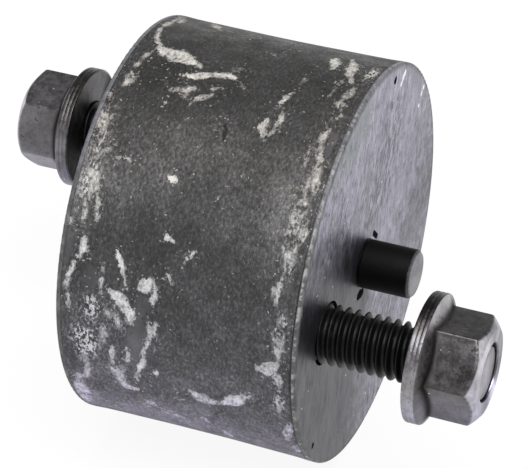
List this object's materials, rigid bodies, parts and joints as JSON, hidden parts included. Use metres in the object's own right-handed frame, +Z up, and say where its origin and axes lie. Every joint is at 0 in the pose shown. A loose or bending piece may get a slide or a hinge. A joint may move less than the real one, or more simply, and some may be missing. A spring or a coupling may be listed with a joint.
{
  "type": "engine mount",
  "caption": "Cylindrical rubber block between round steel end plates, with an offset stud and flange nut at each end and a locating pin at one, that carries an engine and damps vibration.",
  "frame": {"origin": "centre of the plain end plate's outer face, on the rubber block's axis", "axes": "+X runs along the block's axis to the end with the locating pin, +Z is up, and the two studs' axes lie in the XY plane: the pinned end's at -Y and the plain end's at +Y"},
  "size_m": [0.1188, 0.0826, 0.0826],
  "materials": {
    "rubber": "matt, scuffed with chalky marks",
    "end_plate": "dull, fine rolled grain",
    "stud": "blackened, threaded",
    "nut": "dark phosphate",
    "pin": "blackened, ground end"
  },
  "bodies": {
    "root": {"rubber_block": "rubber", "pinned_end_plate": "end_plate", "plain_end_plate": "end_plate", "pinned_end_stud": "stud", "plain_end_stud": "stud", "pinned_end_nut": "nut", "plain_end_nut": "nut", "locating_pin": "pin"}
  },
  "joints": []
}
